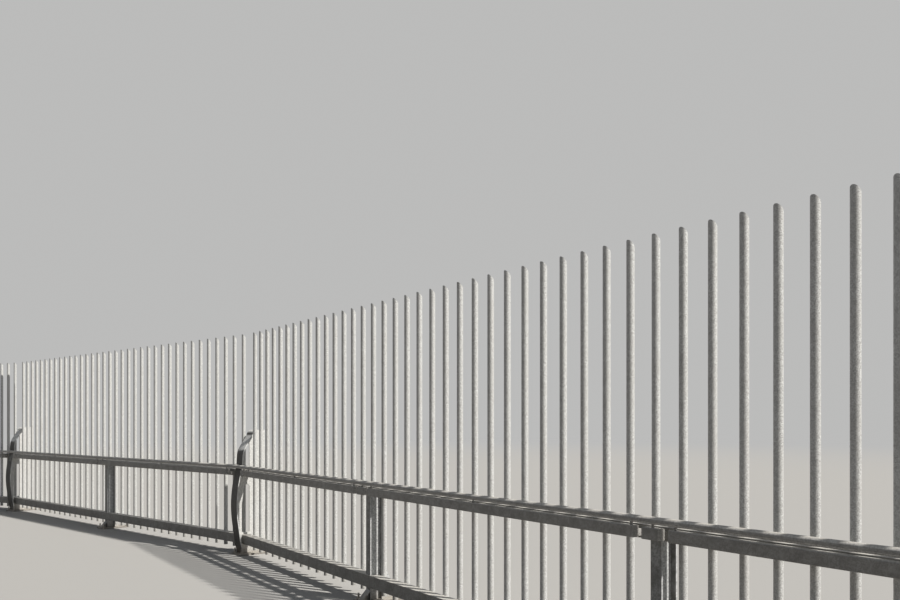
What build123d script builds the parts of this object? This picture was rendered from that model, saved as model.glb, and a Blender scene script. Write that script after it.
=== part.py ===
"""A tall steel railing fence for a walkway, six bays long, in millimetres.

Round pickets stand in one line behind two channel rails. A box rail with a round
handrail on it runs along the deck side at hand height. Plain H posts carry the
straight stretches, and bowed fin posts stand where the fence turns and ends.
The deck side looks towards -Y and the open side towards +Y. The origin lies under
the base plate of the fin post where the second and third runs meet.
"""

import os
from math import cos, radians, sin

from build123d import *

os.makedirs("parts", exist_ok=True)

# Layout along the fence
picket_pitch = 200.0
corner_margin = 150.0  # from a fin post's middle plane to the nearest picket
picket_counts = [18, 18, 18, 16, 17, 17]
post_kinds = ["plain", "fin", "plain", "fin", "plain", "plain", "fin"]
turn = 13.55  # degrees that the fence turns at each fin post between two bays
home_post = 3

# Pickets
picket_diameter = 48.3
picket_foot = 60.0
picket_top = 2668.0
picket_slant = 45.0

# Channel rails that carry the pickets
rail_depth = 90.0
rail_wall = 8.0
rail_corner = 5.0
bottom_rail_low = 130.0
bottom_rail_height = 110.0
top_rail_low = 946.0
top_rail_height = 80.0
rail_joint_gap = 6.0
rail_joint_offset = 105.0  # the joints lie just past each plain post
corner_clearance = 22.0
end_overhang = 70.0

# Box rail and round handrail on the deck side
box_depth = 51.0
box_height = 66.0
box_top = 1026.0
box_corner = 6.0
spacer_depth = 55.0
spacer_length = 60.0
spacer_height = 36.0
box_gap = 70.0
block_length = 120.0
plain_block_offset = 60.0  # the joint block's middle lies this far past a plain post
fin_box_stop = 190.0  # the box rail ends this far before a fin post
fin_block_offset = 310.0  # the joint block's middle lies this far past it
handrail_diameter = 42.4
handrail_lift = 17.0  # short pegs hold the handrail this far above the box rail
handrail_overhang = 60.0
peg_diameter = 16.0

# Plain posts
post_width = 80.0
post_depth = 125.0
post_flange = 10.0
post_web = 8.0
notch_clearance = 6.0
kick_height = 88.0
kick_reach = 84.0
gusset_height = 380.0
gusset_reach = 166.0
gusset_thickness = 10.0

# Fin posts
fin_thickness = 12.0
fin_flange = 12.0
fin_flange_width = 150.0
fin_outer = 150.0
fin_top = 1500.0
fin_foot_front = 138.0
fin_bow_front = 172.0
fin_bow_height = 640.0
fin_handrail_gap = 22.0
fin_lean_front = 72.0
fin_lean_height = 1287.0
fin_crown_reach = 90.0
flare_top = 300.0
flare_reach = 460.0
flare_tip = 30.0
lug_low = 520.0
lug_high = 735.0
lug_reach = 55.0
lug_corner = 24.0
cleat_thickness = 10.0
cleat_length = 80.0
cleat_margin = 14.0

# Base plates
base_thickness = 20.0
plain_base_width = 200.0
plain_base_front = 200.0
plain_base_back = 215.0
fin_base_width = 240.0
fin_base_front = 195.0
fin_base_back = 485.0
bolt_hole = 22.0
bolt_edge = 32.0

# Small gap between round faces and what they are welded to
weld_gap = 0.3

# Distances from the picket line, towards the deck
picket_radius = picket_diameter / 2
rail_back = picket_radius + weld_gap
rail_front = rail_back + rail_depth
box_back = rail_front + spacer_depth
box_front = box_back + box_depth
handrail_line = box_front - box_depth / 2
handrail_height = box_top + handrail_lift + handrail_diameter / 2
post_front = rail_front - rail_wall
post_back = post_front - post_depth
top_rail_high = top_rail_low + top_rail_height
bottom_rail_high = bottom_rail_low + bottom_rail_height

bay_numbers = range(len(picket_counts))
post_numbers = range(len(post_kinds))


def margin(post):
    """Distance from a post to the pickets beside it."""
    return corner_margin if post_kinds[post] == "fin" else picket_pitch / 2


bay_lengths = [
    margin(bay) + (picket_counts[bay] - 1) * picket_pitch + margin(bay + 1)
    for bay in bay_numbers
]

# The fence turns at each fin post that has a bay on both sides.
bay_headings = [0.0]
for bay in bay_numbers[1:]:
    bend = turn if post_kinds[bay] == "fin" else 0.0
    bay_headings.append(bay_headings[-1] - bend)
home_heading = (bay_headings[home_post - 1] + bay_headings[home_post]) / 2
bay_headings = [heading - home_heading for heading in bay_headings]

post_headings = [bay_headings[0]]
for post in post_numbers[1:-1]:
    post_headings.append((bay_headings[post - 1] + bay_headings[post]) / 2)
post_headings.append(bay_headings[-1])


def along(heading):
    """Unit vector along the fence."""
    return Vector(cos(radians(heading)), sin(radians(heading)), 0)


def outward(heading):
    """Unit vector away from the deck."""
    return Vector(-sin(radians(heading)), cos(radians(heading)), 0)


post_places = [Vector(0, 0, 0)]
for bay in bay_numbers:
    post_places.append(post_places[-1] + along(bay_headings[bay]) * bay_lengths[bay])
home_place = post_places[home_post]
post_places = [place - home_place for place in post_places]


def across(place, heading, distance=0.0):
    """Plane square to the fence: its x runs outward and its y runs up."""
    origin = place + along(heading) * distance
    return Plane(origin=origin, x_dir=outward(heading), z_dir=along(heading))


def level(place, heading, height):
    """Level plane: its x runs along the fence and its y runs outward."""
    origin = place + Vector(0, 0, height)
    return Plane(origin=origin, x_dir=along(heading), z_dir=(0, 0, 1))


def bay_across(bay, distance=0.0):
    return across(post_places[bay], bay_headings[bay], distance)


def bay_level(bay, height):
    return level(post_places[bay], bay_headings[bay], height)


def rail_span(bay):
    """Start and end of a bay's channel rails, measured from its first post."""
    start = rail_joint_offset + rail_joint_gap / 2
    if bay == 0:
        start = -end_overhang
    elif post_kinds[bay] == "fin":
        start = corner_clearance
    end = bay_lengths[bay] + rail_joint_offset - rail_joint_gap / 2
    if post_kinds[bay + 1] == "fin":
        end = bay_lengths[bay] - corner_clearance
    return start, end


def block_offset(post):
    """Distance from a post to the middle of the joint block past it."""
    return fin_block_offset if post_kinds[post] == "fin" else plain_block_offset


def box_span(bay):
    """Start and end of a bay's box rail, either side of the openings at its posts."""
    half_opening = block_length / 2 + box_gap
    start = block_offset(bay) + half_opening
    end = bay_lengths[bay] + plain_block_offset - half_opening
    if post_kinds[bay + 1] == "fin":
        end = bay_lengths[bay] - fin_box_stop
    return start, end


# Pickets: round tubes, all cut by one slanted plane at their tops.
for bay in bay_numbers:
    stations = [
        (margin(bay) + step * picket_pitch, 0) for step in range(picket_counts[bay])
    ]
    slant_rise = 2 * picket_diameter
    with BuildPart() as pickets:
        with BuildSketch(bay_level(bay, picket_foot)):
            with Locations(*stations):
                Circle(picket_radius)
        extrude(amount=picket_top - picket_foot)
        with BuildSketch(bay_across(bay)) as slant:
            with Locations((-picket_radius, picket_top)):
                Rectangle(
                    2 * slant_rise,
                    slant_rise,
                    rotation=-picket_slant,
                    align=(Align.CENTER, Align.MIN),
                )
        extrude(amount=bay_lengths[bay], mode=Mode.SUBTRACT)
    pickets.part.label = f"pickets_bay_{bay + 1}"
    export_step(pickets.part, f"parts/pickets_bay_{bay + 1}.step")


# Channel rails: the closed side faces the deck and the open side the pickets.
def channel_rail(bay, low, height):
    start, end = rail_span(bay)
    with BuildPart() as rail:
        with BuildSketch(bay_across(bay, start)) as section:
            with Locations((-rail_front, low)):
                Rectangle(rail_depth, height, align=Align.MIN)
            front_corners = section.vertices().group_by(Axis.X)[0]
            fillet(front_corners, rail_corner)
            with Locations((rail_wall - rail_front, low + rail_wall)):
                Rectangle(rail_depth, height - 2 * rail_wall, mode=Mode.SUBTRACT, align=Align.MIN)
        extrude(amount=end - start)
        # The flanges are cut away around the plain posts that stand behind the web.
        notches = []
        if post_kinds[bay] == "plain" and bay == 0:
            notches.append((0, -post_front))
        if post_kinds[bay + 1] == "plain":
            notches.append((bay_lengths[bay], -post_front))
        if notches:
            with BuildSketch(bay_level(bay, low - rail_wall)):
                with Locations(*notches):
                    Rectangle(
                        post_width + 2 * notch_clearance,
                        2 * rail_depth,
                        align=(Align.CENTER, Align.MIN),
                    )
            extrude(amount=height + 2 * rail_wall, mode=Mode.SUBTRACT)
    return rail.part


for bay in bay_numbers:
    bottom_rail = channel_rail(bay, bottom_rail_low, bottom_rail_height)
    bottom_rail.label = f"bottom_rail_bay_{bay + 1}"
    export_step(bottom_rail, f"parts/bottom_rail_bay_{bay + 1}.step")

    top_rail = channel_rail(bay, top_rail_low, top_rail_height)
    top_rail.label = f"top_rail_bay_{bay + 1}"
    export_step(top_rail, f"parts/top_rail_bay_{bay + 1}.step")


# Box rails: closed boxes held off the top channel by short spacers. A peg above
# each spacer carries the handrail.
def box_piece(bay, start, end, spacer_places):
    with BuildPart() as piece:
        with BuildSketch(bay_across(bay, start)) as section:
            with Locations((-box_front, box_top - box_height)):
                Rectangle(box_depth, box_height, align=Align.MIN)
            fillet(section.vertices(), box_corner)
        extrude(amount=end - start)
        spacer_low = box_top - box_height + box_corner
        with BuildSketch(bay_level(bay, spacer_low)):
            with Locations(*[(place, -box_back) for place in spacer_places]):
                Rectangle(spacer_length, spacer_depth, align=(Align.CENTER, Align.MIN))
        extrude(amount=spacer_height)
        with BuildSketch(bay_level(bay, box_top)):
            with Locations(*[(place, -handrail_line) for place in spacer_places]):
                Circle(peg_diameter / 2)
        extrude(amount=handrail_lift - weld_gap)
    return piece.part


for bay in bay_numbers:
    start, end = box_span(bay)
    end_place = spacer_length / 2
    spacer_places = [start + end_place, (start + end) / 2, end - end_place]
    box_rail = box_piece(bay, start, end, spacer_places)
    box_rail.label = f"box_rail_bay_{bay + 1}"
    export_step(box_rail, f"parts/box_rail_bay_{bay + 1}.step")

# Joint blocks: short pieces of the same box in the openings past the posts.
joint_blocks = []
for bay in bay_numbers:
    middle = block_offset(bay)
    start = middle - block_length / 2
    joint_blocks.append(box_piece(bay, start, start + block_length, [middle]))
with BuildPart() as blocks:
    add(joint_blocks)
blocks.part.label = "box_rail_joint_blocks"
export_step(blocks.part, "parts/box_rail_joint_blocks.step")


# Handrail: one round pipe for each straight run, mitred where the fence turns.
run_starts = [0] + [bay for bay in bay_numbers[1:] if post_kinds[bay] == "fin"]
run_ends = run_starts[1:] + [len(picket_counts)]
for run, (first, last) in enumerate(zip(run_starts, run_ends)):
    run_length = sum(bay_lengths[first:last])
    with BuildPart() as handrail:
        with BuildSketch(bay_across(first, -handrail_overhang)):
            with Locations((-handrail_line, handrail_height)):
                Circle(handrail_diameter / 2)
        extrude(amount=run_length + 2 * handrail_overhang)
        if first > 0:
            mitre = across(post_places[first], post_headings[first])
            split(bisect_by=mitre, keep=Keep.TOP)
        if last < len(picket_counts):
            mitre = across(post_places[last], post_headings[last])
            split(bisect_by=mitre, keep=Keep.BOTTOM)
    handrail.part.label = f"handrail_run_{run + 1}"
    export_step(handrail.part, f"parts/handrail_run_{run + 1}.step")


# Plain posts: an H section with a kicked toe on the deck side and a gusset behind.
def plain_post(post):
    place, heading = post_places[post], post_headings[post]
    with BuildPart() as body:
        with BuildSketch(level(place, heading, base_thickness)):
            with Locations((0, -post_front)):
                Rectangle(post_width, post_flange, align=(Align.CENTER, Align.MIN))
            with Locations((0, -post_back)):
                Rectangle(post_width, post_flange, align=(Align.CENTER, Align.MAX))
            with Locations((0, -(post_front + post_back) / 2)):
                Rectangle(post_web, post_depth - 2 * post_flange)
        extrude(amount=top_rail_high - base_thickness)
        with BuildSketch(across(place, heading)):
            with BuildLine():
                Polyline(
                    (-post_front, base_thickness + kick_height),
                    (-post_front - kick_reach, base_thickness),
                    (post_flange - post_front - kick_reach, base_thickness),
                    (-post_front, base_thickness + kick_height - post_flange),
                    close=True,
                )
            make_face()
        extrude(amount=post_width / 2, both=True)
        with BuildSketch(across(place, heading)):
            with BuildLine():
                Polyline(
                    (-post_front, base_thickness + kick_height - post_flange),
                    (post_flange - post_front - kick_reach, base_thickness),
                    (-post_front, base_thickness),
                    close=True,
                )
            make_face()
            with BuildLine():
                Polyline(
                    (-post_back, base_thickness + gusset_height),
                    (gusset_reach - post_back, base_thickness),
                    (-post_back, base_thickness),
                    close=True,
                )
            make_face()
        extrude(amount=gusset_thickness / 2, both=True)
    return body.part


# Fin posts: a plate square to the fence with a bowed flange along its deck side.
def flange_curve(inset):
    """Deck-side curve of the flange, moved in from its face by inset."""
    handrail_back = handrail_line - handrail_diameter / 2 - fin_handrail_gap
    foot = (inset - fin_foot_front, base_thickness)
    bow = (inset - fin_bow_front, fin_bow_height)
    behind_handrail = (inset - handrail_back, handrail_height)
    lean = (inset - fin_lean_front, fin_lean_height - inset / 3)
    crown = (fin_crown_reach, fin_top - inset)
    return Spline(
        foot,
        bow,
        behind_handrail,
        lean,
        crown,
        tangents=((0, 1), (1, 0)),
        tangent_scalars=(1, 0.5),
    )


def fin_flange_piece(post):
    with BuildPart() as flange:
        with BuildSketch(across(post_places[post], post_headings[post])):
            with BuildLine():
                front = flange_curve(0)
                back = flange_curve(fin_flange)
                Line(front @ 0, back @ 0)
                Line(front @ 1, back @ 1)
            make_face()
        extrude(amount=fin_flange_width / 2, both=True)
    return flange.part


def fin_plate(post):
    place, heading = post_places[post], post_headings[post]
    with BuildPart() as plate:
        with BuildSketch(across(place, heading)):
            with BuildLine():
                back = flange_curve(fin_flange)
                Polyline(
                    back @ 1,
                    (fin_outer, fin_top - fin_flange),
                    (fin_outer, flare_top),
                )
                flare = TangentArc(
                    (fin_outer, flare_top),
                    (flare_reach, base_thickness + flare_tip),
                    tangent=(0, -1),
                )
                Polyline(flare @ 1, (flare_reach, base_thickness), back @ 0)
            make_face()
            with BuildLine():
                Polyline(
                    (fin_outer, lug_low),
                    (fin_outer + lug_reach - lug_corner, lug_low + lug_corner / 2),
                    (fin_outer + lug_reach, lug_low + 2 * lug_corner),
                    (fin_outer + lug_reach, lug_high - lug_corner),
                    (fin_outer + lug_reach - lug_corner, lug_high),
                    (fin_outer, lug_high),
                    close=True,
                )
            make_face()
        extrude(amount=fin_thickness / 2, both=True)
        # Cleats reach out behind the webs of the channel rails on each side.
        for low, height in (
            (bottom_rail_low, bottom_rail_height),
            (top_rail_low, top_rail_height),
        ):
            for bay, side in ((post - 1, Align.MAX), (post, Align.MIN)):
                if bay not in bay_numbers:
                    continue
                with BuildSketch(level(place, bay_headings[bay], low + cleat_margin)):
                    with Locations((0, -post_front)):
                        Rectangle(cleat_length, cleat_thickness, align=(side, Align.MIN))
                extrude(amount=height - 2 * cleat_margin)
    return plate.part


# Base plates, with a bolt hole in each corner.
def base_plate(post, width, front, back):
    place, heading = post_places[post], post_headings[post]
    with BuildPart() as plate:
        with BuildSketch(level(place, heading, 0)):
            with Locations((0, (back - front) / 2)):
                Rectangle(width, front + back)
                with GridLocations(
                    width - 2 * bolt_edge, front + back - 2 * bolt_edge, 2, 2
                ):
                    Circle(bolt_hole / 2, mode=Mode.SUBTRACT)
        extrude(amount=base_thickness)
    return plate.part


for post in post_numbers:
    number = post + 1
    if post_kinds[post] == "plain":
        body = plain_post(post)
        body.label = f"plain_post_{number}"
        export_step(body, f"parts/plain_post_{number}.step")
        base = base_plate(post, plain_base_width, plain_base_front, plain_base_back)
    else:
        plate = fin_plate(post)
        plate.label = f"fin_post_{number}_plate"
        export_step(plate, f"parts/fin_post_{number}_plate.step")
        flange = fin_flange_piece(post)
        flange.label = f"fin_post_{number}_bowed_flange"
        export_step(flange, f"parts/fin_post_{number}_bowed_flange.step")
        base = base_plate(post, fin_base_width, fin_base_front, fin_base_back)
    base.label = f"base_plate_{number}"
    export_step(base, f"parts/base_plate_{number}.step")
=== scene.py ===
# %% [markdown]
# A tall galvanised steel railing fence, of the kind that guards an open edge. Most of its
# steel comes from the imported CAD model, in metres: round pickets, channel rails, a box rail
# with a round handrail, H posts and base plates. This script gives each kind of piece its zinc
# surface, shapes the bowed fin posts, adds the welds and the anchors, and lights it all softly.

from math import cos, pi, radians, sin, tan

import bmesh
import bpy
from mathutils import Matrix, Vector
from mathutils.geometry import interpolate_bezier


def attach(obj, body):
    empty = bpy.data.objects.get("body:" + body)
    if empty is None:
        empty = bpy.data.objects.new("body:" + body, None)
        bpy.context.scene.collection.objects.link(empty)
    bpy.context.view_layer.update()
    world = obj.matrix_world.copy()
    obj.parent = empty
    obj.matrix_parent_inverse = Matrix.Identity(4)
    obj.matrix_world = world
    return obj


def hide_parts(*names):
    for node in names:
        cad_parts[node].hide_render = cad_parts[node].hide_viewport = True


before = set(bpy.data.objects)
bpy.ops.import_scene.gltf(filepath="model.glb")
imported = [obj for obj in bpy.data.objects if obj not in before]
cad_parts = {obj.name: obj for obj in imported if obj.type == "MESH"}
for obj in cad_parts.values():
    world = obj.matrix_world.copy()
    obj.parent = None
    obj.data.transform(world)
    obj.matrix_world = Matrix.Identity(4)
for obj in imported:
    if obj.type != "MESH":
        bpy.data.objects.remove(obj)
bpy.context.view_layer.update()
print("nodes from the frame:", len(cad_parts))

# %% [markdown]
# The camera stands where the photograph was taken: in front of the fence, at eye height, close
# to its right-hand stretch and looking along it to the left. A 34 mm lens on a 36 mm sensor
# has the photograph's perspective. The camera is level, so that uprights stay upright, and a
# vertical shift brings the tall pickets into the frame.

# %% Camera
CAMERA_PLACE = (9.456, -4.784, 1.6)
CAMERA_TURN = 49.97
CAMERA_LENS = 34.0
CAMERA_SENSOR = 36.0
CAMERA_SHIFT = 121.6 / 900
CAMERA_REACH = 400.0

camera_data = bpy.data.cameras.new("camera")
camera_data.lens = CAMERA_LENS
camera_data.sensor_width = CAMERA_SENSOR
camera_data.shift_y = CAMERA_SHIFT
camera_data.clip_end = CAMERA_REACH
camera = bpy.data.objects.new("camera", camera_data)
camera.location = CAMERA_PLACE
camera.rotation_euler = (radians(90), 0, radians(CAMERA_TURN))
bpy.context.scene.collection.objects.link(camera)
bpy.context.scene.camera = camera
print("camera at", CAMERA_PLACE)

# %% [markdown]
# Every material here is a small tree of nodes. A few helpers keep the trees readable: one adds
# a node, one feeds a socket with a link or a plain value, and the others do sums, stretch a
# range, blend two values by a share, or mix two colours by a mask.

# %% Node helpers
COLOUR_MIX_INPUTS = (0, 6, 7)
COLOUR_MIX_RESULT = 2


def new_node(tree, kind, **settings):
    node = tree.nodes.new(kind)
    for name, value in settings.items():
        setattr(node, name, value)
    return node


def feed(tree, socket, value):
    if isinstance(value, bpy.types.NodeSocket):
        tree.links.new(value, socket)
    else:
        socket.default_value = value


def maths(tree, operation, *values):
    node = new_node(tree, "ShaderNodeMath", operation=operation)
    for socket, value in zip(node.inputs, values):
        feed(tree, socket, value)
    return node.outputs[0]


def stretch(tree, value, low, high, to_low=0.0, to_high=1.0):
    node = new_node(tree, "ShaderNodeMapRange", interpolation_type="SMOOTHSTEP")
    for socket, number in zip(node.inputs, (value, low, high, to_low, to_high)):
        feed(tree, socket, number)
    return node.outputs[0]


def blend(tree, first, second, share):
    rest = maths(tree, "MULTIPLY", first, 1 - share)
    return maths(tree, "MULTIPLY_ADD", second, share, rest)


def mix_colour(tree, mask, first, second):
    node = new_node(tree, "ShaderNodeMix", data_type="RGBA")
    for index, value in zip(COLOUR_MIX_INPUTS, (mask, first, second)):
        feed(tree, node.inputs[index], value)
    return node.outputs[COLOUR_MIX_RESULT]


print("node helpers ready")

# %% [markdown]
# Two textures make all the patterns: cloudy noise for what is soft and uneven, and cells with
# straight borders for crystals.

# %% Texture helpers
def noise(tree, place, scale, detail, roughness=0.55):
    node = new_node(tree, "ShaderNodeTexNoise")
    feed(tree, node.inputs["Vector"], place)
    feed(tree, node.inputs["Scale"], scale)
    feed(tree, node.inputs["Detail"], detail)
    feed(tree, node.inputs["Roughness"], roughness)
    return node.outputs["Fac"]


def cells(tree, place, scale):
    node = new_node(tree, "ShaderNodeTexVoronoi")
    feed(tree, node.inputs["Vector"], place)
    feed(tree, node.inputs["Scale"], scale)
    split = new_node(tree, "ShaderNodeSeparateColor")
    feed(tree, split.inputs[0], node.outputs["Color"])
    return split.outputs[0]


print("texture helpers ready")

# %% [markdown]
# Effects that several finishes share are shader node groups. Each has named inputs and puts
# out a mask that changes over the surface, and each material places it with its own values.

# %% Group helpers
def add_socket(group, label, direction):
    return group.interface.new_socket(
        name=label, in_out=direction, socket_type="NodeSocketFloat"
    )


def start_group(name, inputs, outputs):
    group = bpy.data.node_groups.new(name, "ShaderNodeTree")
    for label, value in inputs.items():
        add_socket(group, label, "INPUT").default_value = value
    for label in outputs:
        add_socket(group, label, "OUTPUT")
    enter = new_node(group, "NodeGroupInput").outputs
    leave = new_node(group, "NodeGroupOutput").inputs
    place = new_node(group, "ShaderNodeTexCoord").outputs["Object"]
    return group, enter, leave, place


def place_group(tree, group, label, value):
    node = new_node(tree, "ShaderNodeGroup", node_tree=group)
    feed(tree, node.inputs[label], value)
    return node.outputs


print("group helpers ready")

# %% [markdown]
# Hot-dip galvanising leaves zinc crystals, called spangle. Each crystal reflects a little
# differently, so from a few metres the steel looks finely speckled. Voronoi cells give each
# crystal its own brightness. A second, finer set breaks up the first, and noise adds grain.

# %% Zinc spangle
FINE_CRYSTALS = 2.3
FINE_SHARE = 0.4
GRAIN_FINENESS = 1.4
GRAIN_SHARE = 0.5
CRYSTAL_RANGE = (0.32, 0.68)

spangle_group, enter, leave, place = start_group(
    "zinc spangle", {"Crystal size": 0.008}, ["Crystal", "Relief"]
)
scale = maths(spangle_group, "DIVIDE", 1.0, enter["Crystal size"])
coarse = cells(spangle_group, place, scale)
fine_scale = maths(spangle_group, "MULTIPLY", scale, FINE_CRYSTALS)
fine = cells(spangle_group, place, fine_scale)
grain_scale = maths(spangle_group, "MULTIPLY", scale, GRAIN_FINENESS)
grain = noise(spangle_group, place, grain_scale, 4.0)
speckle = blend(spangle_group, coarse, fine, FINE_SHARE)
speckle = blend(spangle_group, speckle, grain, GRAIN_SHARE)
feed(spangle_group, leave["Crystal"], stretch(spangle_group, speckle, *CRYSTAL_RANGE))
feed(spangle_group, leave["Relief"], maths(spangle_group, "ADD", coarse, grain))
print("group:", spangle_group.name)

# %% [markdown]
# Rain runs down upright steel and leaves long thin streaks. Noise that keeps its size across
# the fence and is stretched along its height draws them.

# %% Rain streaks
STREAK_SQUEEZE = (1.0, 1.0, 0.035)
STREAK_RANGE = (0.42, 0.72)

streak_group, enter, leave, place = start_group("rain streaks", {"Width": 0.02}, ["Streak"])
squeeze = new_node(streak_group, "ShaderNodeMapping")
feed(streak_group, squeeze.inputs["Vector"], place)
feed(streak_group, squeeze.inputs["Scale"], STREAK_SQUEEZE)
scale = maths(streak_group, "DIVIDE", 1.0, enter["Width"])
streaks = noise(streak_group, squeeze.outputs[0], scale, 4.0, 0.6)
feed(streak_group, leave["Streak"], stretch(streak_group, streaks, *STREAK_RANGE))
print("group:", streak_group.name)

# %% [markdown]
# Dust and dull zinc patches lie where rain doesn't wash: dust on surfaces that face up, and
# patches in broad uneven areas elsewhere. On the up-facing faces the pale dust tone is also
# painted light, standing for the light that falls on the tops. The normal tells which way a
# surface faces.

# %% Settled dust and painted top light
DUST_AND_LIGHT_FACING = (0.3, 0.95)
DUST_AND_LIGHT_GRAIN = 38.0
DUST_AND_LIGHT_RANGE = (0.25, 0.60)
PATCH_RANGE = (0.38, 0.64)


def facing(tree, axis):
    split = new_node(tree, "ShaderNodeSeparateXYZ")
    feed(tree, split.inputs[0], new_node(tree, "ShaderNodeNewGeometry").outputs["Normal"])
    return split.outputs[axis]


dust_and_light_group, enter, leave, place = start_group(
    "Dusty and lit tops", {"Spread": 0.25}, ["Dust", "Patch"]
)
# painted light: up-facing faces take the dust tone, both for real dust and for light falling on
# the tops
upward = stretch(dust_and_light_group, facing(dust_and_light_group, "Z"), *DUST_AND_LIGHT_FACING)
scatter = noise(dust_and_light_group, place, DUST_AND_LIGHT_GRAIN, 6.0, 0.65)
scatter = stretch(dust_and_light_group, scatter, *DUST_AND_LIGHT_RANGE)
scale = maths(dust_and_light_group, "DIVIDE", 1.0, enter["Spread"])
patches = noise(dust_and_light_group, place, scale, 5.0, 0.6)
feed(dust_and_light_group, leave["Dust"], maths(dust_and_light_group, "MULTIPLY", upward, scatter))
feed(dust_and_light_group, leave["Patch"], stretch(dust_and_light_group, patches, *PATCH_RANGE))
print("group:", dust_and_light_group.name)

# %% [markdown]
# Near the foot, rain splashes grit up, which dulls the zinc and stains it brown. The mask
# fades with height and is broken up by noise.

# %% Foot splash
SPATTER_GRAIN = 55.0
SPATTER_SPREAD = 1.6
SPATTER_LEAST = 0.2

splash_group, enter, leave, place = start_group("foot splash", {"Height": 0.3}, ["Splash"])
height = new_node(splash_group, "ShaderNodeSeparateXYZ")
feed(splash_group, height.inputs[0], place)
spatter = noise(splash_group, place, SPATTER_GRAIN, 6.0, 0.7)
spatter = maths(splash_group, "MULTIPLY_ADD", spatter, SPATTER_SPREAD, SPATTER_LEAST)
reach = maths(splash_group, "MULTIPLY", enter["Height"], spatter)
near = maths(splash_group, "DIVIDE", height.outputs["Z"], reach)
feed(splash_group, leave["Splash"], stretch(splash_group, near, 0.0, 1.0, 1.0, 0.0))
print("group:", splash_group.name)

# %% [markdown]
# Shade is painted on the faces at the front: they turn away from the light, so a dark tone
# stands for their shade, while sides, ends and tops stay bright. The mask follows how far a
# face points to the front, along minus y, and noise makes the painted shade uneven. A higher
# start keeps it off faces that lean back towards the light.

# %% Painted front shade
SHADE_FULL = 0.97
SHADE_BREAKUP = 0.3
SHADE_NOISE_GRAIN = 14.0
SHADE_NOISE_RANGE = (0.35, 0.65)

# painted shade: a dark tone on faces that point to the front, away from the light
front_shade_group, enter, leave, place = start_group("painted front shade", {"Start": 0.35}, ["Film"])
towards = maths(front_shade_group, "MULTIPLY", facing(front_shade_group, "Y"), -1.0)
towards = stretch(front_shade_group, towards, enter["Start"], SHADE_FULL)
shade_noise = noise(front_shade_group, place, SHADE_NOISE_GRAIN, 8.0, 0.7)
shade_noise = stretch(front_shade_group, shade_noise, *SHADE_NOISE_RANGE)
uneven_shade = maths(front_shade_group, "MULTIPLY_ADD", shade_noise, -SHADE_BREAKUP, 1.0)
feed(front_shade_group, leave["Film"], maths(front_shade_group, "MULTIPLY", towards, uneven_shade))
print("group:", front_shade_group.name)

# %% [markdown]
# Each material places all five groups. Streaks and dull patches count as one mask, the
# weather, because they change the zinc in the same way.

# %% Masks of a finish
STREAK_WIDTH = 0.012
PATCH_SPREAD = 0.3
SPLASH_HEIGHT = 0.16
WEATHER_SHARE = 0.35
SPLASH_SHARE = 0.55


def place_masks(tree, crystal, shade_start):
    spangle = place_group(tree, spangle_group, "Crystal size", crystal)
    streaks = place_group(tree, streak_group, "Width", STREAK_WIDTH)["Streak"]
    dust_light_patches = place_group(tree, dust_and_light_group, "Spread", PATCH_SPREAD)
    splash = place_group(tree, splash_group, "Height", SPLASH_HEIGHT)["Splash"]
    weather = maths(tree, "MAXIMUM", streaks, dust_light_patches["Patch"])
    return {
        "crystal": spangle["Crystal"],
        "relief": spangle["Relief"],
        "weather": maths(tree, "MULTIPLY", weather, WEATHER_SHARE),
        # painted shade on the front faces, which turn away from the light
        "painted_shade": place_group(tree, front_shade_group, "Start", shade_start)["Film"],
        # dust on the tops, which also serves as painted light there
        "dust_and_light": dust_light_patches["Dust"],
        "splash": maths(tree, "MULTIPLY", splash, SPLASH_SHARE),
    }


print("masks ready")

# %% [markdown]
# One recipe makes every zinc finish. The spangle mixes a dark and a light zinc, the weather
# shifts that towards a dull tone, and painted shade on the front faces, dust on the tops, which
# is also painted light there, and splash lie on top. The same masks set the roughness, because
# dull zinc and dust scatter light more. A light bump follows the crystals.
# The metal share is kept low, because weathered zinc is covered in pale carbonate.

# %% Zinc recipe
# pale tone of the dust on the tops, which is also painted light there
DUST_AND_TOP_LIGHT = (0.50, 0.48, 0.44)
GRIT = (0.20, 0.165, 0.125)
# warm tint of the painted shade on the front faces
SHADE_TINT = (1.0, 0.96, 0.89)
CRYSTAL_GLOSS = 0.14
DULLING = 0.3
BUMP_STRENGTH = 0.8


def opaque(colour):
    return (*colour, 1.0)


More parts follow.
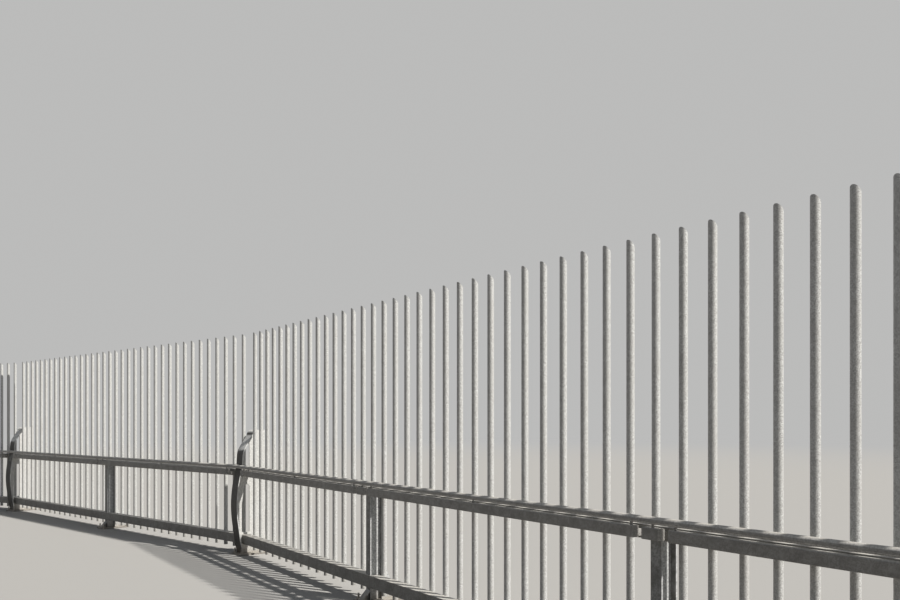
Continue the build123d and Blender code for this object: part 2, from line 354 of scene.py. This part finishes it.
def zinc(
    name, dark, light, dull, crystal=0.008, painted_shade=0.3, shade_start=0.35, shade_tone=0.16,
    dust_and_light=0.5, rough=0.5, metal=0.12, relief=0.0003,
):
    material = bpy.data.materials.new(name)
    material.use_nodes = True
    tree = material.node_tree
    shader = tree.nodes["Principled BSDF"]
    masks = place_masks(tree, crystal, shade_start)
    # painted shade darkens the front faces; dust, which is also painted light, lightens the
    # tops
    shaded_share = maths(tree, "MULTIPLY", masks["painted_shade"], painted_shade)
    dust_and_light_share = maths(tree, "MULTIPLY", masks["dust_and_light"], dust_and_light)

    colour = mix_colour(tree, masks["crystal"], opaque(dark), opaque(light))
    colour = mix_colour(tree, masks["weather"], colour, opaque(dull))
    # mixes in the painted shade, then the dust that also paints light on the tops
    colour = mix_colour(tree, shaded_share, colour, opaque(shade_tone * tint for tint in SHADE_TINT))
    colour = mix_colour(tree, dust_and_light_share, colour, opaque(DUST_AND_TOP_LIGHT))
    colour = mix_colour(tree, masks["splash"], colour, opaque(GRIT))
    feed(tree, shader.inputs["Base Color"], colour)

    least_rough = rough + CRYSTAL_GLOSS / 2
    roughness = maths(tree, "MULTIPLY_ADD", masks["crystal"], -CRYSTAL_GLOSS, least_rough)
    scattering = maths(tree, "MAXIMUM", dust_and_light_share, masks["weather"])
    roughness = maths(tree, "MULTIPLY_ADD", scattering, DULLING, roughness)
    feed(tree, shader.inputs["Roughness"], roughness)
    shader.inputs["Metallic"].default_value = metal

    bump = new_node(tree, "ShaderNodeBump")
    bump.inputs["Strength"].default_value = BUMP_STRENGTH
    bump.inputs["Distance"].default_value = relief
    feed(tree, bump.inputs["Height"], masks["relief"])
    feed(tree, shader.inputs["Normal"], bump.outputs[0])
    return material


print("zinc recipe ready")

# %% [markdown]
# Each kind of piece gets its own values. The three colours are those of the dark crystals, the
# light crystals and the dull zinc. Pickets and fins are bright, rails are dull, and each finish
# sets how much shade is painted on its front faces. The bowed flanges carry the darkest painted
# shade, because they turn their broad faces to the front, away from the light.

# %% Zinc finishes
picket_zinc = zinc(
    "picket zinc", (0.44, 0.44, 0.43), (0.92, 0.93, 0.91), (0.58, 0.57, 0.54),
    crystal=0.0045, painted_shade=0.42, relief=0.0006,
)
rail_zinc = zinc(
    "rail zinc", (0.30, 0.29, 0.275), (0.66, 0.65, 0.62), (0.40, 0.38, 0.35),
    crystal=0.006, painted_shade=0.9, shade_tone=0.17, dust_and_light=0.6,
)
# The handrail's painted shade starts late and its dust, also painted light, is strong, so the
# top of the tube stays bright.
handrail_zinc = zinc(
    "handrail zinc", (0.36, 0.35, 0.335), (0.76, 0.75, 0.72), (0.46, 0.44, 0.41),
    crystal=0.006, painted_shade=0.8, shade_start=0.82, shade_tone=0.17, dust_and_light=0.9,
)
post_zinc = zinc(
    "post zinc", (0.40, 0.41, 0.415), (0.82, 0.83, 0.83), (0.50, 0.50, 0.49),
    crystal=0.010, painted_shade=0.92, shade_tone=0.12,
)
plate_zinc = zinc(
    "fin plate zinc", (0.52, 0.52, 0.51), (0.86, 0.86, 0.84), (0.58, 0.57, 0.54),
    crystal=0.008, painted_shade=0.6,
)
flange_zinc = zinc(
    "fin flange zinc", (0.44, 0.445, 0.44), (0.88, 0.89, 0.88), (0.55, 0.55, 0.53),
    crystal=0.010, painted_shade=1.35, shade_start=0.88, shade_tone=0.045,
)
base_zinc = zinc(
    "base plate zinc", (0.30, 0.30, 0.29), (0.60, 0.60, 0.58), (0.36, 0.34, 0.31),
    crystal=0.010, dust_and_light=0.7,
)
weld_zinc = zinc(
    "weld zinc", (0.28, 0.28, 0.27), (0.56, 0.56, 0.54), (0.30, 0.28, 0.26),
    crystal=0.003,
)
anchor_zinc = zinc(
    "anchor zinc", (0.32, 0.32, 0.31), (0.68, 0.68, 0.66), (0.38, 0.34, 0.30),
    crystal=0.003, rough=0.42, metal=0.6,
)
zincs = [material for material in bpy.data.materials if "zinc" in material.name]
print("zinc finishes:", len(zincs))

# %% [markdown]
# Each CAD node takes the finish of its kind. The start of its name tells the kind.

# %% Finishes on the CAD nodes
finishes = {
    "pickets": picket_zinc,
    "bottom_rail": rail_zinc,
    "top_rail": rail_zinc,
    "box_rail": rail_zinc,
    "handrail": handrail_zinc,
    "plain_post": post_zinc,
    "fin_post": plate_zinc,
    "base_plate": base_zinc,
}
for name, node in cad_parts.items():
    finish = next(finish for kind, finish in finishes.items() if name.startswith(kind))
    node.data.materials.clear()
    node.data.materials.append(finish)
print("nodes with a finish:", len(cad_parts))

# %% [markdown]
# The fins, the welds and the anchors belong to the bays and the posts, so their places come
# next. They follow from the same pitch, margins and turn as the steel. A frame here is a
# matrix whose x runs along the fence and whose y runs outward, away from the front.

# %% Bays and posts
PICKET_PITCH = 0.2
CORNER_MARGIN = 0.15
PICKET_COUNTS = [18, 18, 18, 16, 17, 17]
FIN_POSTS = (1, 3, 6)
HOME_POST = 3
TURN = radians(13.55)


def post_margin(post):
    return CORNER_MARGIN if post in FIN_POSTS else PICKET_PITCH / 2


def place_frame(place, heading):
    return Matrix.Translation(place) @ Matrix.Rotation(heading, 4, "Z")


bay_lengths = [
    post_margin(bay) + (count - 1) * PICKET_PITCH + post_margin(bay + 1)
    for bay, count in enumerate(PICKET_COUNTS)
]
bay_headings = [TURN * 1.5, TURN / 2, TURN / 2, -TURN / 2, -TURN / 2, -TURN / 2]
post_places = [Vector((0.0, 0.0, 0.0))]
for length, heading in zip(bay_lengths, bay_headings):
    along_bay = Vector((cos(heading), sin(heading), 0.0)) * length
    post_places.append(post_places[-1] + along_bay)
post_places = [place - post_places[HOME_POST] for place in post_places]
bay_frames = [place_frame(*pair) for pair in zip(post_places, bay_headings)]
turns = [bay_headings[0], *bay_headings, bay_headings[-1]]
post_headings = [(before + after) / 2 for before, after in zip(turns, turns[1:])]
post_frames = [place_frame(*pair) for pair in zip(post_places, post_headings)]
print("fence length:", round(sum(bay_lengths), 2), "m")

# %% [markdown]
# A finished piece is a mesh whose place is already in its points. Shapes that repeat are
# built once and copied. Sharp steel edges are always a little broken, so one helper bevels
# them.

# %% Finishing a piece
def finish_piece(name, bm, material, sharp=40.0):
    mesh = bpy.data.meshes.new(name)
    bm.to_mesh(mesh)
    bm.free()
    mesh.polygons.foreach_set("use_smooth", [True] * len(mesh.polygons))
    mesh.set_sharp_from_angle(angle=radians(sharp))
    mesh.materials.append(material)
    piece = bpy.data.objects.new(name, mesh)
    bpy.context.scene.collection.objects.link(piece)
    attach(piece, "root")
    print(name, len(mesh.polygons), "faces")
    return piece


def pattern_mesh(name, bm):
    bmesh.ops.recalc_face_normals(bm, faces=bm.faces[:])
    mesh = bpy.data.meshes.new(name)
    bm.to_mesh(mesh)
    bm.free()
    return mesh


def add_copy(bm, mesh, matrix):
    copy = mesh.copy()
    copy.transform(matrix)
    bm.from_mesh(copy)
    bpy.data.meshes.remove(copy)


def break_edges(bm, edges, size):
    bmesh.ops.bevel(
        bm, geom=edges, offset=size, segments=1, profile=0.5, affect="EDGES", material=-1
    )


print("piece helpers ready")

# %% [markdown]
# Each base plate is held by four anchor studs of 20 mm. A stud has a threaded end, a plain
# washer and a hexagon nut. The thread could be a true helix, but rings of the same pitch look
# the same and close cleanly: a zigzag edge is spun once around the stud's axis.

# %% Threaded stud
STUD_RADIUS = 0.010
STUD_FOOT = 0.002
STUD_TOP = 0.076
STUD_END = STUD_TOP + 0.001
STUD_END_RADIUS = STUD_RADIUS - 0.002
STUD_SIDES = 20
THREAD_START = 0.041
THREAD_PITCH = 0.0025
THREAD_DEPTH = 0.0012
ROOT_AT = 0.4
CREST_AT = 0.9

stud = bmesh.new()
outline = [(0.0, STUD_FOOT), (STUD_RADIUS, STUD_FOOT), (STUD_RADIUS, THREAD_START)]
for turn in range(int((STUD_TOP - THREAD_START) / THREAD_PITCH)):
    low = THREAD_START + turn * THREAD_PITCH
    outline.append((STUD_RADIUS - THREAD_DEPTH, low + THREAD_PITCH * ROOT_AT))
    outline.append((STUD_RADIUS, low + THREAD_PITCH * CREST_AT))
outline += [(STUD_END_RADIUS, STUD_END), (0.0, STUD_END)]
corners = [stud.verts.new((across, 0.0, up)) for across, up in outline]
edges = [stud.edges.new(pair) for pair in zip(corners, corners[1:])]
bmesh.ops.spin(
    stud, geom=corners + edges, cent=(0, 0, 0), axis=(0, 0, 1), dvec=(0, 0, 0),
    angle=2 * pi, steps=STUD_SIDES, use_merge=True,
)
bmesh.ops.remove_doubles(stud, verts=stud.verts[:], dist=1e-6)
stud_mesh = pattern_mesh("stud pattern", stud)
print("stud faces:", len(stud_mesh.polygons))

# %% [markdown]
# A hexagon nut is a prism whose corners are cut by a flat cone at the top. The prism's sides
# are divided first. Then each top point is lowered by how far it lies outside the round
# bearing face, which draws the curved chamfer of a real nut.

# %% Hexagon nut
NUT_ACROSS_FLATS = 0.030
NUT_HEIGHT = 0.016
NUT_BEARING = 0.0140
NUT_INSET = 0.0005
NUT_CHAMFER = tan(pi / 6)
SIDE_CUTS = 3
PLATE_TOP = 0.020
WASHER_THICKNESS = 0.003

nut = bmesh.new()
nut_corner = NUT_ACROSS_FLATS / 2 / cos(pi / 6)
bmesh.ops.create_circle(nut, cap_ends=True, radius=nut_corner, segments=6)
bmesh.ops.subdivide_edges(nut, edges=nut.edges[:], cuts=SIDE_CUTS)
raised = bmesh.ops.extrude_face_region(nut, geom=nut.faces[:])["geom"]
top_points = [item for item in raised if isinstance(item, bmesh.types.BMVert)]
top_face = [item for item in raised if isinstance(item, bmesh.types.BMFace)]
bmesh.ops.translate(nut, verts=top_points, vec=(0, 0, NUT_HEIGHT))
bmesh.ops.inset_region(nut, faces=top_face, thickness=NUT_INSET, depth=0.0)
for point in top_face[0].verts:
    point.co.xy = point.co.xy.normalized() * NUT_BEARING
for point in top_points:
    point.co.z -= max(0.0, point.co.xy.length - NUT_BEARING) * NUT_CHAMFER
bmesh.ops.translate(nut, verts=nut.verts[:], vec=(0, 0, PLATE_TOP + WASHER_THICKNESS))
nut_mesh = pattern_mesh("nut pattern", nut)
print("nut faces:", len(nut_mesh.polygons))

# %% [markdown]
# The washer under each nut spreads its load. It is a short cylinder with slightly broken rims.

# %% Washer
WASHER_RADIUS = 0.0185
WASHER_SIDES = 32
WASHER_RIM = 0.0005

washer = bmesh.new()
bmesh.ops.create_cone(
    washer, cap_ends=True, segments=WASHER_SIDES, radius1=WASHER_RADIUS,
    radius2=WASHER_RADIUS, depth=WASHER_THICKNESS,
)
caps = [face for face in washer.faces if len(face.verts) > 4]
break_edges(washer, [edge for face in caps for edge in face.edges], WASHER_RIM)
washer_middle = PLATE_TOP + WASHER_THICKNESS / 2
bmesh.ops.translate(washer, verts=washer.verts[:], vec=(0, 0, washer_middle))
washer_mesh = pattern_mesh("washer pattern", washer)
print("washer faces:", len(washer_mesh.polygons))

# %% [markdown]
# The anchors stand in the holes of the base plates: 32 mm in from each edge. Each nut stops
# at its own angle, as tightened nuts do. A base is given by its width, front and back.

# %% Anchors
HOLE_INSET = 0.032
PLAIN_BASE = (0.200, 0.200, 0.215)
FIN_BASE = (0.240, 0.195, 0.485)
NUT_TURN = radians(17)

for post, post_frame in enumerate(post_frames):
    width, front, back = FIN_BASE if post in FIN_POSTS else PLAIN_BASE
    anchors = bmesh.new()
    for corner in range(4):
        along = (width / 2 - HOLE_INSET) * (1 if corner % 2 else -1)
        outward = back - HOLE_INSET if corner > 1 else HOLE_INSET - front
        spot = post_frame @ Matrix.Translation((along, outward, 0))
        turned = spot @ Matrix.Rotation(NUT_TURN * (post * 4 + corner), 4, "Z")
        add_copy(anchors, stud_mesh, turned)
        add_copy(anchors, nut_mesh, turned)
        add_copy(anchors, washer_mesh, spot)
    finish_piece(f"anchors_{post + 1}", anchors, anchor_zinc, 30.0)

# %% [markdown]
# A weld bead is a rounded ridge with fine ripples, left as the welder moves along the joint.
# It could be a bump in the material, but it is real metal and shows in the outline. So a ring
# is extruded along the joint, a little thicker and thinner by turns, and narrowed at its ends.

# %% Weld beads
BEAD_STEP = 0.005
BEAD_SIDES = 6
RIPPLE = 0.84
BEAD_TIP = 0.45


def points_along(corners):
    corners = [Vector(corner) for corner in corners]
    line = corners[:1]
    for start, end in zip(corners, corners[1:]):
        count = max(3, round((end - start).length / BEAD_STEP))
        line += [start.lerp(end, index / count) for index in range(1, count + 1)]
    return line


def ring_frames(points, size):
    frames = []
    for index, point in enumerate(points):
        before = points[max(index - 1, 0)]
        after = points[min(index + 1, len(points) - 1)]
        turn = (after - before).to_track_quat("Z", "Y").to_matrix().to_4x4()
        width = size * (RIPPLE if index % 2 else 1.0)
        if index in (0, len(points) - 1):
            width = size * BEAD_TIP
        frames.append(Matrix.Translation(point) @ turn @ Matrix.Scale(width, 4))
    return frames


def weld_mesh(points, size):
    bm = bmesh.new()
    frames = ring_frames(points, size)
    bmesh.ops.create_circle(
        bm, cap_ends=True, radius=1.0, segments=BEAD_SIDES, matrix=frames[0]
    )
    edges = bm.edges[:]
    for before, after in zip(frames, frames[1:]):
        grown = bmesh.ops.extrude_edge_only(bm, edges=edges)["geom"]
        verts = {item for item in grown if isinstance(item, bmesh.types.BMVert)}
        edges = [item for item in grown if isinstance(item, bmesh.types.BMEdge)]
        edges = [edge for edge in edges if verts.issuperset(edge.verts)]
        bmesh.ops.transform(bm, matrix=after @ before.inverted(), verts=list(verts))
    bmesh.ops.contextual_create(bm, geom=edges)
    return pattern_mesh("weld pattern", bm)


def add_weld(bm, corners, size, matrix):
    mesh = weld_mesh(points_along(corners), size)
    add_copy(bm, mesh, matrix)
    bpy.data.meshes.remove(mesh)


print("weld beads ready")

# %% [markdown]
# Every picket is welded to the lips of both channel rails, on top of the upper lip and under
# the lower one. Seen close, the bead follows the round of the picket. There are hundreds, so
# one light bead is made once and copied.

# %% Picket welds
PICKET_RADIUS = 0.02415
PICKET_BEAD = 0.0032
BEAD_STANDOFF = 0.0006
RAIL_LEVELS = (0.130, 0.240, 0.946, 1.026)
WELD_ARC = radians(26)

arc_points = [
    Vector((sin(angle), -cos(angle), 0)) * (PICKET_RADIUS + BEAD_STANDOFF)
    for angle in [WELD_ARC * (step / 3 - 1) for step in range(7)]
]
picket_bead = weld_mesh(arc_points, PICKET_BEAD)
for bay, bay_frame in enumerate(bay_frames):
    beads = bmesh.new()
    for step in range(PICKET_COUNTS[bay]):
        along = post_margin(bay) + step * PICKET_PITCH
        for level in RAIL_LEVELS:
            add_copy(beads, picket_bead, bay_frame @ Matrix.Translation((along, 0, level)))
    finish_piece(f"picket_welds_bay_{bay + 1}", beads, weld_zinc, 50.0)

# %% [markdown]
# The posts are welded to their base plates. An H post has a bead along the outer face of its
# toe and of its back flange, on both sides of its web, and beside and up its gusset.

# %% Plain post welds
POST_BEAD = 0.0042
POST_FRONT = -0.10645
POST_BACK = 0.01855
POST_TOE = -0.19045
POST_EDGE = 0.038
WEB_SIDE = 0.0045
WEB_GAP = 0.010
BACK_GAP = 0.001
GUSSET_END = 0.18155
GUSSET_TOP = 0.390
FOOT = PLATE_TOP + 0.001

for post, post_frame in enumerate(post_frames):
    if post in FIN_POSTS:
        continue
    beads = bmesh.new()
    lines = [
        ((-POST_EDGE, face, FOOT), (POST_EDGE, face, FOOT)) for face in (POST_TOE, POST_BACK)
    ]
    for side in (-WEB_SIDE, WEB_SIDE):
        behind = POST_BACK + BACK_GAP
        lines.append(((side, POST_FRONT + WEB_GAP, FOOT), (side, POST_BACK - WEB_GAP, FOOT)))
        lines.append(((side, behind + BACK_GAP, FOOT), (side, GUSSET_END, FOOT)))
        lines.append(((side, behind, FOOT), (side, behind, GUSSET_TOP)))
    for line in lines:
        add_weld(beads, line, POST_BEAD, post_frame)
    finish_piece(f"post_welds_{post + 1}", beads, weld_zinc, 50.0)

# %% [markdown]
# A fin post stands where the fence turns and at its end. Its front is a flat bar, bent to a
# bow that bulges forward, passes behind the handrail and leans back to a crown.
# Bent steel has no corners, so the bow is drawn as a smooth curve through a few points of its
# front face, each given as outward and up. The back face is the same curve, moved outward by
# the bar's thickness.

# %% Bow of a fin post
BAR_THICKNESS = 0.012
BOW_STEPS = 7
BOW_POINTS = [
    (-0.140, 0.020), (-0.167, 0.120), (-0.197, 0.320), (-0.215, 0.460), (-0.222, 0.600),
    (-0.212, 0.760), (-0.190, 0.900), (-0.152, 1.065), (-0.147, 1.150), (-0.136, 1.235),
    (-0.109, 1.295), (-0.062, 1.362), (-0.020, 1.432), (0.002, 1.484), (0.035, 1.500),
]


def smooth_line(corners):
    corners = [Vector(corner) for corner in corners]
    pairs = zip(corners[:1] + corners[:-1], corners[1:] + corners[-1:])
    aims = [(after - before).normalized() for before, after in pairs]
    line = corners[:1]
    for start, end, leave, arrive in zip(corners, corners[1:], aims, aims[1:]):
        third = (end - start).length / 3
        handles = (start + leave * third, end - arrive * third)
        line += interpolate_bezier(start, *handles, end, BOW_STEPS)[1:]
    return line


def offset_line(line, distance):
    moved = []
    for before, point, after in zip(line[:1] + line, line, line[1:] + line[-1:]):
        aim = (after - before).normalized()
        moved.append(point + Vector((aim.y, -aim.x)) * distance)
    moved[0].y = line[0].y
    moved[-1].x = line[-1].x
    return moved


bow_front = smooth_line(BOW_POINTS)
bow_back = offset_line(bow_front, BAR_THICKNESS)
print("points along the bow:", len(bow_front))

# %% [markdown]
# The bent bar is that profile pushed out to its width, with its sharp edges slightly broken. A
# curve object could sweep it as well, but a pushed-out profile keeps the ends square. The CAD
# node there has a shallower bow, so the finished bar stands for it.

# %% Bowed flange
FLANGE_WIDTH = 0.155
FLANGE_EDGE = 0.0008
SHARP_EDGE = radians(35)


def wire_points(bm, line, across):
    return [bm.verts.new((across, point.x, point.y)) for point in line]


def thicken(bm, faces, thickness, edge_size):
    grown = bmesh.ops.extrude_face_region(bm, geom=faces)["geom"]
    moved = [item for item in grown if isinstance(item, bmesh.types.BMVert)]
    bmesh.ops.translate(bm, verts=moved, vec=(thickness, 0, 0))
    bmesh.ops.recalc_face_normals(bm, faces=bm.faces[:])
    rims = [edge for edge in bm.edges if edge.calc_face_angle(0) > SHARP_EDGE]
    break_edges(bm, rims, edge_size)


flange = bmesh.new()
profile = wire_points(flange, bow_front + bow_back[::-1], -FLANGE_WIDTH / 2)
thicken(flange, [flange.faces.new(profile)], FLANGE_WIDTH, FLANGE_EDGE)
flange_mesh = pattern_mesh("flange pattern", flange)
for post in FIN_POSTS:
    copy = bmesh.new()
    add_copy(copy, flange_mesh, post_frames[post])
    piece = finish_piece(f"fin_flange_{post + 1}", copy, flange_zinc, 30.0)
    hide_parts(f"fin_post_{post + 1}_bowed_flange")

# %% [markdown]
# The fin itself is a thick plate behind the bar. Its outer edge is straight, with a small lug,
# and sweeps out to a long foot. The sweep is an arc that starts upright, so the edge has no
# kink there.

# %% Fin outline
FIN_TOP = 1.5
FIN_OUTER = 0.185
LUG_REACH = 0.030
LUG_CORNER = 0.024
LUG_LEVELS = (0.520, 0.735)
FLARE_TOP = 0.300
FLARE_RADIUS = 0.2511
FLARE_TURN = radians(95.5)
FLARE_STEPS = 24
FLARE_END = 0.460

lug_low, lug_high = LUG_LEVELS
lug_edge = FIN_OUTER + LUG_REACH
lug_shoulder = lug_edge - LUG_CORNER
corners = [
    (FIN_OUTER, FIN_TOP),
    (FIN_OUTER, lug_high),
    (lug_shoulder, lug_high),
    (lug_edge, lug_high - LUG_CORNER),
    (lug_edge, lug_low + LUG_CORNER * 2),
    (lug_shoulder, lug_low + LUG_CORNER / 2),
    (FIN_OUTER, lug_low),
]
for step in range(FLARE_STEPS + 1):
    angle = pi + FLARE_TURN * step / FLARE_STEPS
    outward = FIN_OUTER + FLARE_RADIUS * (1 + cos(angle))
    corners.append((outward, FLARE_TOP + FLARE_RADIUS * sin(angle)))
corners.append((FLARE_END, PLATE_TOP))
fin_outline = bow_back + bow_front[-1:] + [Vector(corner) for corner in corners]
print("points around the fin:", len(fin_outline))

# %% [markdown]
# Two openings with rounded corners, one above the upper rail and one below it, make the fin
# lighter, so that it is really a frame. Booleans could cut them, but they often leave ragged
# faces. Here outline and openings are filled together, which keeps the openings free, and the
# sheet is then thickened.

# %% Fin plate
PLATE_HALF = 0.006
PLATE_EDGE = 0.0006
OPENING_CORNER = 0.018
CORNER_STEPS = 5
CORNER_PULL = 0.55
LOWER_OPENING = [
    (-0.120, 0.265), (-0.020, 0.265), (-0.020, 0.840), (-0.085, 0.840), (-0.120, 0.600),
]
UPPER_OPENING = [
    (-0.112, 1.045), (-0.020, 1.045), (-0.020, 1.350), (-0.080, 1.275), (-0.112, 1.215),
]


def rounded(corners):
    corners = [Vector(corner) for corner in corners]
    loop = []
    neighbours = zip(corners[-1:] + corners, corners, corners[1:] + corners[:1])
    for before, corner, after in neighbours:
        start = corner + (before - corner).normalized() * OPENING_CORNER
        end = corner + (after - corner).normalized() * OPENING_CORNER
        handles = (start.lerp(corner, CORNER_PULL), end.lerp(corner, CORNER_PULL))
        loop += interpolate_bezier(start, *handles, end, CORNER_STEPS)
    return loop


fin = bmesh.new()
wires = []
for line in (fin_outline, rounded(LOWER_OPENING), rounded(UPPER_OPENING)):
    points = wire_points(fin, line, -PLATE_HALF)
    wires += [fin.edges.new(pair) for pair in zip(points, points[1:] + points[:1])]
filled = bmesh.ops.triangle_fill(fin, use_beauty=True, use_dissolve=False, edges=wires)
sheet = [item for item in filled["geom"] if isinstance(item, bmesh.types.BMFace)]
thicken(fin, sheet, PLATE_HALF * 2, PLATE_EDGE)
fin_mesh = pattern_mesh("fin pattern", fin)
print("fin faces:", len(fin_mesh.polygons))

# %% [markdown]
# Small cleats on both sides of the fin take the ends of the channel rails. They follow the
# bays, which meet the post at different angles. Fin and cleats are one welded piece, and it
# stands for the CAD node of the closed plate.

# %% Cleats and fins in place
CLEAT_FACES = (-0.10645, -0.09645)
CLEAT_LEVELS = ((0.144, 0.226), (0.960, 1.012))
CLEAT_LENGTH = 0.080
CLEAT_EDGE = 0.001


def add_cleats(bm, matrix, direction):
    near, far = CLEAT_FACES
    for low, high in CLEAT_LEVELS:
        along = direction * CLEAT_LENGTH / 2
        middle = Matrix.Translation((along, (near + far) / 2, (low + high) / 2))
        size = Matrix.Diagonal((CLEAT_LENGTH, far - near, high - low, 1.0))
        block = bmesh.ops.create_cube(bm, size=1.0, matrix=matrix @ middle @ size)
        rims = {edge for point in block["verts"] for edge in point.link_edges}
        break_edges(bm, list(rims), CLEAT_EDGE)


for post in FIN_POSTS:
    copy = bmesh.new()
    add_copy(copy, fin_mesh, post_frames[post])
    add_cleats(copy, place_frame(post_places[post], bay_headings[post - 1]), -1)
    if post < len(bay_frames):
        add_cleats(copy, bay_frames[post], 1)
    piece = finish_piece(f"fin_plate_{post + 1}", copy, plate_zinc, 30.0)
    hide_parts(f"fin_post_{post + 1}_plate")

# %% [markdown]
# Two long beads join the fin to the bar, one on each side. They follow the bar's back face and
# stop short of its ends. A straight one on each side joins the fin to its base plate.

# %% Fin post welds
FIN_BEAD = 0.0045
FOOT_BEAD = (-0.12, 0.44)

for post in FIN_POSTS:
    beads = bmesh.new()
    for side in (-PLATE_HALF, PLATE_HALF):
        line = [(side, point.x, point.y) for point in bow_back[2:-2:2]]
        add_weld(beads, line, FIN_BEAD, post_frames[post])
        foot = [(side, outward, FOOT) for outward in FOOT_BEAD]
        add_weld(beads, foot, FIN_BEAD, post_frames[post])
    finish_piece(f"fin_welds_{post + 1}", beads, weld_zinc, 50.0)

# %% [markdown]
# The setting stays plain: a pale floor that fades into a pale backdrop a few dozen metres out,
# so that neither draws the eye from the fence. Light that bounces off the floor is darker than
# the floor looks, so that the steel's undersides keep their shade.

# %% Floor
FLOOR_REACH = 150.0
FLOOR_DROP = 0.0005
FLOOR_COLOUR = (0.365, 0.358, 0.345, 1.0)
FLOOR_BOUNCE = (0.16, 0.15, 0.14, 1.0)
FLOOR_ROUGHNESS = 0.9
FADE_RANGE = (16.0, 60.0)
BACKDROP = (0.50, 0.50, 0.495, 1.0)


def seen_by(tree, *kinds):
    rays = new_node(tree, "ShaderNodeLightPath").outputs
    seen = rays[kinds[0]]
    for kind in kinds[1:]:
        seen = maths(tree, "MAXIMUM", seen, rays[kind])
    return seen


floor_mesh = bpy.data.meshes.new("floor")
plane = bmesh.new()
bmesh.ops.create_grid(plane, x_segments=1, y_segments=1, size=FLOOR_REACH)
bmesh.ops.translate(plane, verts=plane.verts[:], vec=(0, 0, -FLOOR_DROP))
plane.to_mesh(floor_mesh)
plane.free()
floor = bpy.data.objects.new("floor", floor_mesh)
bpy.context.scene.collection.objects.link(floor)

floor_material = bpy.data.materials.new("floor")
floor_material.use_nodes = True
tree = floor_material.node_tree
shader = tree.nodes["Principled BSDF"]
shader.inputs["Roughness"].default_value = FLOOR_ROUGHNESS
distance = new_node(tree, "ShaderNodeVectorMath", operation="LENGTH")
feed(tree, distance.inputs[0], new_node(tree, "ShaderNodeTexCoord").outputs["Object"])
far = stretch(tree, distance.outputs["Value"], *FADE_RANGE)
seen = seen_by(tree, "Is Camera Ray", "Is Glossy Ray")
feed(tree, shader.inputs["Base Color"], mix_colour(tree, seen, FLOOR_BOUNCE, FLOOR_COLOUR))
glow = new_node(tree, "ShaderNodeEmission")
glow.inputs["Color"].default_value = BACKDROP
faded = new_node(tree, "ShaderNodeMixShader")
feed(tree, faded.inputs[0], maths(tree, "MULTIPLY", far, seen))
feed(tree, faded.inputs[1], shader.outputs[0])
feed(tree, faded.inputs[2], glow.outputs[0])
feed(tree, tree.nodes["Material Output"].inputs["Surface"], faded.outputs[0])
floor_mesh.materials.append(floor_material)
print("floor reaches", FLOOR_REACH, "m")

# %% [markdown]
# A soft, slightly blue sky fills the shadows. Camera and mirror rays see the plain backdrop
# instead of it, so the picture and the reflections stay pale and even.

# %% Sky light
SKY_COLOUR = (0.80, 0.88, 1.0, 1.0)
SKY_STRENGTH = 0.20

world = bpy.data.worlds.new("world")
world.use_nodes = True
bpy.context.scene.world = world
tree = world.node_tree
seen = seen_by(tree, "Is Camera Ray", "Is Glossy Ray", "Is Transmission Ray")
background = tree.nodes["Background"]
feed(tree, background.inputs["Color"], mix_colour(tree, seen, SKY_COLOUR, BACKDROP))
strength = stretch(tree, seen, 0.0, 1.0, SKY_STRENGTH, 1.0)
feed(tree, background.inputs["Strength"], strength)
print("sky strength", SKY_STRENGTH)

# %% [markdown]
# The main light stands to the right of the fence and a little beyond it, so each picket is lit
# along its right side and throws a shadow towards the camera's left. It is parallel like
# sunlight, as the shadows in the photograph are, but broader, so that their edges are soft.

# %% Sun
SUN_BEARING = 21.7
SUN_HEIGHT = 51.3
SUN_BREADTH = radians(1.5)
SUN_ENERGY = 5.1
SUN_COLOUR = (1.0, 0.965, 0.91)

sun_data = bpy.data.lights.new("sun", "SUN")
sun_data.energy = SUN_ENERGY
sun_data.angle = SUN_BREADTH
sun_data.color = SUN_COLOUR
sun = bpy.data.objects.new("sun", sun_data)
level = cos(radians(SUN_HEIGHT))
direction = Vector((
    cos(radians(SUN_BEARING)) * level,
    sin(radians(SUN_BEARING)) * level,
    sin(radians(SUN_HEIGHT)),
))
sun.rotation_euler = direction.to_track_quat("Z", "Y").to_euler()
bpy.context.scene.collection.objects.link(sun)
print("sun bearing", SUN_BEARING, "height", SUN_HEIGHT)

# %% [markdown]
# The view transform is set to Standard, so colours appear as written.

# %% Finish
bpy.context.scene.view_settings.view_transform = "Standard"
